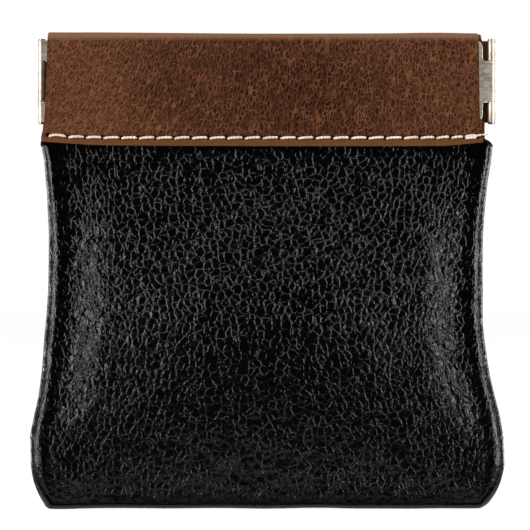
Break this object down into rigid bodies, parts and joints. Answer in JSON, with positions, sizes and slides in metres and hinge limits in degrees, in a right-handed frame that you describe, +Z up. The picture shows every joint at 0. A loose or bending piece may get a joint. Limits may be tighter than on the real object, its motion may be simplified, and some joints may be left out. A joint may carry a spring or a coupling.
{
  "type": "squeeze coin purse",
  "caption": "Flat leather coin purse whose sprung mouth bows open when its hinged ends are squeezed and closes by itself.",
  "frame": {"origin": "middle of the foot, on the surface the purse stands on", "axes": "+Z up to the mouth, -Y out of the front, +X to the right as seen from the front"},
  "size_m": [0.0874, 0.0124, 0.088],
  "materials": {
    "black_leather": "satin pebbled",
    "brown_leather": "matt",
    "cream_thread": "matt",
    "dark_thread": "matt",
    "spring_steel": "nickel plated",
    "pin_steel": "nickel plated"
  },
  "bodies": {
    "bag": {"front_panel": "black_leather", "rear_panel": "black_leather", "seam_thread": "dark_thread"},
    "front_mouth": {"front_band": "brown_leather", "front_stitching": "cream_thread"},
    "rear_mouth": {"rear_band": "brown_leather", "rear_stitching": "cream_thread"},
    "front_left": {"front_strip_left": "spring_steel", "left_pin": "pin_steel"},
    "front_right": {"front_strip_right": "spring_steel"},
    "rear_left": {"rear_strip_left": "spring_steel"},
    "rear_right": {"rear_strip_right": "spring_steel", "right_pin": "pin_steel"}
  },
  "joints": [
    {"name": "left_hinge", "type": "hinge", "parent": "front_left", "child": "rear_left", "pos_m": [-0.0417, 0, 0.0791], "axis": [0, 0, 1], "range_deg": [0, 48], "stiffness_Nm_per_rad": 0.26},
    {"name": "front_bow", "type": "slide", "parent": "bag", "child": "front_mouth", "axis": [0, -1, 0], "range_m": [0, 0.01685], "deforming": ["front_band", "front_stitching", "front_panel"]},
    {"name": "front_turn", "type": "hinge", "parent": "front_mouth", "child": "front_left", "pos_m": [0, -0.0013, 0.0791], "axis": [0, 0, -1], "range_deg": [0, 24]},
    {"name": "front_flex", "type": "hinge", "parent": "front_left", "child": "front_right", "pos_m": [0, -0.0013, 0.0791], "axis": [0, 0, 1], "range_deg": [0, 48]},
    {"name": "rear_flex", "type": "hinge", "parent": "rear_left", "child": "rear_right", "pos_m": [0, 0.0013, 0.0791], "axis": [0, 0, -1], "range_deg": [0, 48]},
    {"name": "rear_bow", "type": "slide", "parent": "bag", "child": "rear_mouth", "axis": [0, 1, 0], "range_m": [0, 0.01685], "deforming": ["rear_band", "rear_stitching", "rear_panel"]}
  ],
  "couplings": [
    {"joint": "front_bow", "follows": "left_hinge", "m_per_rad": 0.020111},
    {"joint": "rear_bow", "follows": "left_hinge", "m_per_rad": 0.020111},
    {"joint": "front_turn", "follows": "left_hinge", "ratio": 0.5},
    {"joint": "front_flex", "follows": "left_hinge", "ratio": 1},
    {"joint": "rear_flex", "follows": "left_hinge", "ratio": 1}
  ]
}
